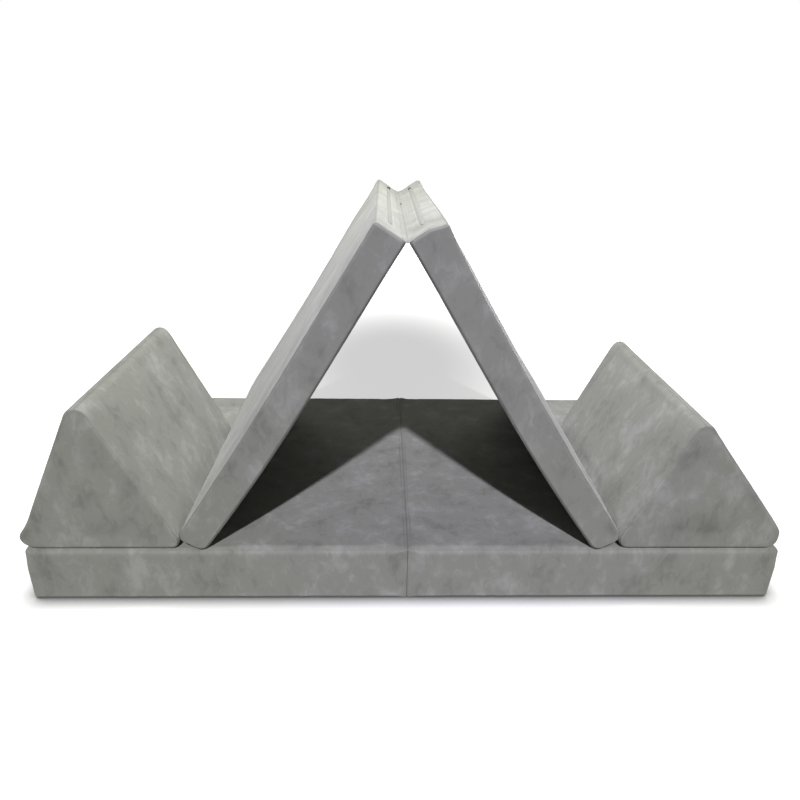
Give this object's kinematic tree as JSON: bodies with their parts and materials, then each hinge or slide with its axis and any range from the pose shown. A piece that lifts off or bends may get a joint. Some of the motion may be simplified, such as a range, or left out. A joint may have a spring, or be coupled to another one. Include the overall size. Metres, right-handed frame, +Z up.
{
  "type": "foam play set",
  "caption": "Low folding foam mat with a folded A-frame tunnel standing on it and a triangular foam wedge on either side, all in zipped microsuede covers.",
  "frame": {"origin": "on the floor, under the middle of the base mat, at its fold line", "axes": "+X along the base mat towards the low wedge, +Y towards the back, +Z up; the tunnel runs along Y"},
  "size_m": [1.6846, 0.838, 0.8313],
  "materials": {
    "microsuede": "matte",
    "liner": "matte",
    "foam": "matte",
    "zip_tape": "matte",
    "zip_metal": "satin"
  },
  "bodies": {
    "base": {"base_fold_strip": "microsuede", "base_left_back_band": "microsuede", "base_left_bottom_panel": "microsuede", "base_left_end_band": "microsuede", "base_left_foam": "foam", "base_left_fold_band": "microsuede", "base_left_front_band": "microsuede", "base_left_liner": "liner", "base_left_top_panel": "microsuede", "base_left_zip_tape": "zip_tape", "base_right_back_band": "microsuede", "base_right_bottom_panel": "microsuede", "base_right_end_band": "microsuede", "base_right_foam": "foam", "base_right_fold_band": "microsuede", "base_right_front_band": "microsuede", "base_right_liner": "liner", "base_right_top_panel": "microsuede", "base_right_zip_tape": "zip_tape"},
    "tent_left": {"tent_apex_strip": "microsuede", "tent_left_back_band": "microsuede", "tent_left_foam": "foam", "tent_left_foot_band": "microsuede", "tent_left_front_band": "microsuede", "tent_left_head_band": "microsuede", "tent_left_inner_panel": "microsuede", "tent_left_liner": "liner", "tent_left_outer_panel": "microsuede", "tent_left_zip_tape": "zip_tape"},
    "tent_right": {"tent_right_back_band": "microsuede", "tent_right_foam": "foam", "tent_right_foot_band": "microsuede", "tent_right_front_band": "microsuede", "tent_right_head_band": "microsuede", "tent_right_inner_panel": "microsuede", "tent_right_liner": "liner", "tent_right_outer_panel": "microsuede", "tent_right_zip_tape": "zip_tape"},
    "wedge_left": {"wedge_left_back_end": "microsuede", "wedge_left_bottom_panel": "microsuede", "wedge_left_foam": "foam", "wedge_left_front_end": "microsuede", "wedge_left_inner_panel": "microsuede", "wedge_left_liner": "liner", "wedge_left_outer_panel": "microsuede", "wedge_left_zip_tape": "zip_tape"},
    "wedge_right": {"wedge_right_back_end": "microsuede", "wedge_right_bottom_panel": "microsuede", "wedge_right_foam": "foam", "wedge_right_front_end": "microsuede", "wedge_right_inner_panel": "microsuede", "wedge_right_liner": "liner", "wedge_right_outer_panel": "microsuede", "wedge_right_zip_tape": "zip_tape"},
    "base_left_slider": {"base_left_zip_slider": "zip_metal"},
    "base_right_slider": {"base_right_zip_slider": "zip_metal"},
    "tent_left_slider": {"tent_left_zip_slider": "zip_metal"},
    "tent_right_slider": {"tent_right_zip_slider": "zip_metal"},
    "wedge_left_slider": {"wedge_left_zip_slider": "zip_metal"},
    "wedge_right_slider": {"wedge_right_zip_slider": "zip_metal"}
  },
  "joints": [
    {"name": "tent_fold", "type": "hinge", "parent": "base", "child": "tent_left", "pos_m": [-0.47653, 0, 0.16634], "axis": [0, -1, 0], "range_deg": [0, 31]},
    {"name": "tent_apex", "type": "hinge", "parent": "tent_left", "child": "tent_right", "pos_m": [-0.0145, 0, 0.80039], "axis": [0, 1, 0], "range_deg": [0, 62]},
    {"name": "wedge_left_shove", "type": "slide", "parent": "base", "child": "wedge_left", "axis": [-1, 0, 0], "range_m": [0, 0.16]},
    {"name": "wedge_right_shove", "type": "slide", "parent": "base", "child": "wedge_right", "axis": [1, 0, 0], "range_m": [0, 0.19]},
    {"name": "base_left_zip", "type": "slide", "parent": "base", "child": "base_left_slider", "axis": [0, -1, 0], "range_m": [0, 0.638]},
    {"name": "base_right_zip", "type": "slide", "parent": "base", "child": "base_right_slider", "axis": [0, -1, 0], "range_m": [0, 0.638]},
    {"name": "tent_left_zip", "type": "slide", "parent": "tent_left", "child": "tent_left_slider", "axis": [0, -1, 0], "range_m": [0, 0.638]},
    {"name": "tent_right_zip", "type": "slide", "parent": "tent_right", "child": "tent_right_slider", "axis": [0, -1, 0], "range_m": [0, 0.638]},
    {"name": "wedge_left_zip", "type": "slide", "parent": "wedge_left", "child": "wedge_left_slider", "axis": [0, -1, 0], "range_m": [0, 0.378]},
    {"name": "wedge_right_zip", "type": "slide", "parent": "wedge_right", "child": "wedge_right_slider", "axis": [0, -1, 0], "range_m": [0, 0.378]}
  ],
  "couplings": [
    {"joint": "tent_apex", "follows": "tent_fold", "ratio": 2}
  ]
}
